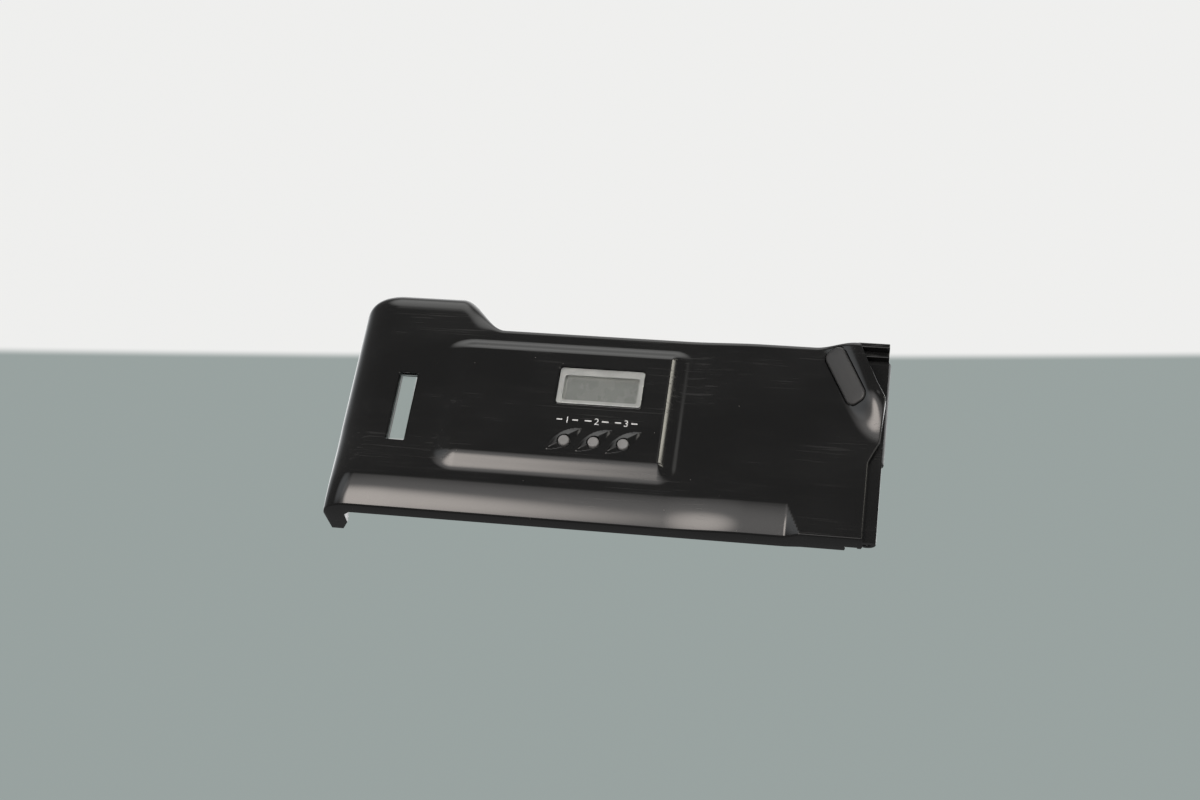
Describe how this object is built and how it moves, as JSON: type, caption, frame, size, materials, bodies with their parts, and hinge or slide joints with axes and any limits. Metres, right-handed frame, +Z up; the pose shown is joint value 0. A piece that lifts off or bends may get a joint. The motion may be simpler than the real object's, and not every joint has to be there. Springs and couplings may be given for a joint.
{
  "type": "camera back door with quartz timer",
  "caption": "Hinged film-camera back door: gloss black cover with display and three buttons, quartz timer board, sprung pressure plate, film roller, latch hooks and hinge pins.",
  "frame": {"origin": "on the hinge axis, at the middle of the door height", "axes": "+X from the latch side to the hinge side, +Y from the outer face to the film side, +Z up along the hinge axis"},
  "size_m": [0.1426, 0.0215, 0.0645],
  "materials": {
    "gloss_cover": "high-gloss moulded black, fine wipe marks",
    "clear_window": "clear polished plastic pane",
    "display_glass": "liquid crystal display behind glass",
    "seal_foam": "fine closed-cell foam",
    "thumb_rubber": "satin moulded rubber",
    "matt_plastic": "fine matt moulded black",
    "button_grey": "satin light grey moulded plastic",
    "keypad_rubber": "silicone rubber",
    "board": "green printed circuit board",
    "chip": "moulded chip case",
    "bright_steel": "bright spring steel and plating",
    "dark_steel": "dark satin plated steel",
    "black_plate": "black anodised sheet",
    "contact_gold": "gold plated contact"
  },
  "bodies": {
    "door": {"outer_cover": "gloss_cover", "display_window": "clear_window", "cassette_window": "clear_window", "cassette_window_seal": "seal_foam", "thumb_pad": "thumb_rubber", "lcd_panel": "display_glass", "lcd_holder": "matt_plastic", "elastomer_strip_upper": "keypad_rubber", "elastomer_strip_lower": "keypad_rubber", "circuit_board": "board", "timer_chip": "chip", "quartz_crystal": "bright_steel", "button_mat": "keypad_rubber", "imprint_head": "matt_plastic", "battery_cell": "bright_steel", "battery_contact_minus": "bright_steel", "battery_contact_plus": "bright_steel", "inner_plate": "black_plate", "roller_shaft": "bright_steel", "roller_bracket_upper": "dark_steel", "roller_bracket_lower": "dark_steel", "latch_plate": "dark_steel", "latch_hook_lower": "dark_steel", "latch_hook_upper": "dark_steel", "latch_seal_strip": "seal_foam", "hinge_seal_strip": "seal_foam", "contact_block": "matt_plastic", "hinge_barrel": "dark_steel", "lower_pivot_pin": "bright_steel", "hinge_spring": "bright_steel", "pressure_spring_left": "bright_steel", "pressure_spring_right": "bright_steel", "plate_screw_1": "dark_steel", "plate_screw_2": "dark_steel", "plate_screw_3": "dark_steel", "plate_screw_4": "dark_steel", "plate_screw_5": "dark_steel", "plate_screw_6": "dark_steel", "plate_guide_pin_1": "dark_steel", "plate_guide_pin_2": "dark_steel", "plate_guide_pin_3": "dark_steel", "plate_guide_pin_4": "dark_steel", "sync_contact_1": "contact_gold", "sync_contact_2": "contact_gold", "sync_contact_3": "contact_gold"},
    "mode_key": {"mode_button": "button_grey"},
    "select_key": {"select_button": "button_grey"},
    "adjust_key": {"adjust_button": "button_grey"},
    "film_pressure_plate": {"pressure_plate": "black_plate"},
    "take_up_roller": {"film_roller": "matt_plastic"},
    "hinge_release": {"hinge_pin": "bright_steel", "release_tab": "dark_steel"},
    "battery_lid": {"battery_cover": "matt_plastic"},
    "cassette_leaf": {"cassette_spring": "bright_steel"}
  },
  "joints": [
    {"name": "mode_press", "type": "slide", "parent": "door", "child": "mode_key", "axis": [0, 1, 0], "range_m": [0, 0.0005], "stiffness_N_per_m": 800, "springref_m": -0.0005},
    {"name": "select_press", "type": "slide", "parent": "door", "child": "select_key", "axis": [0, 1, 0], "range_m": [0, 0.0005], "stiffness_N_per_m": 800, "springref_m": -0.0005},
    {"name": "adjust_press", "type": "slide", "parent": "door", "child": "adjust_key", "axis": [0, 1, 0], "range_m": [0, 0.0005], "stiffness_N_per_m": 800, "springref_m": -0.0005},
    {"name": "plate_press", "type": "slide", "parent": "door", "child": "film_pressure_plate", "axis": [0, -1, 0], "range_m": [0, 0.0012], "stiffness_N_per_m": 800, "springref_m": -0.002, "deforming": ["pressure_spring_left", "pressure_spring_right"]},
    {"name": "roller_spin", "type": "hinge", "parent": "door", "child": "take_up_roller", "pos_m": [-0.044, 0.0034, 0], "axis": [0, 0, 1], "continuous": true},
    {"name": "pin_retract", "type": "slide", "parent": "door", "child": "hinge_release", "axis": [0, 0, -1], "range_m": [0, 0.0035], "stiffness_N_per_m": 400, "springref_m": -0.004, "deforming": ["hinge_spring"]},
    {"name": "battery_cover_turn", "type": "hinge", "parent": "door", "child": "battery_lid", "pos_m": [-0.0265, 0.0005, 0], "axis": [0, 1, 0], "range_deg": [0, 25]},
    {"name": "cassette_flex", "type": "hinge", "parent": "door", "child": "cassette_leaf", "pos_m": [-0.1066, 0.0007, 0], "axis": [0, 0, 1], "range_deg": [0, 6], "stiffness_Nm_per_rad": 0.1, "springref_deg": -5.73}
  ]
}
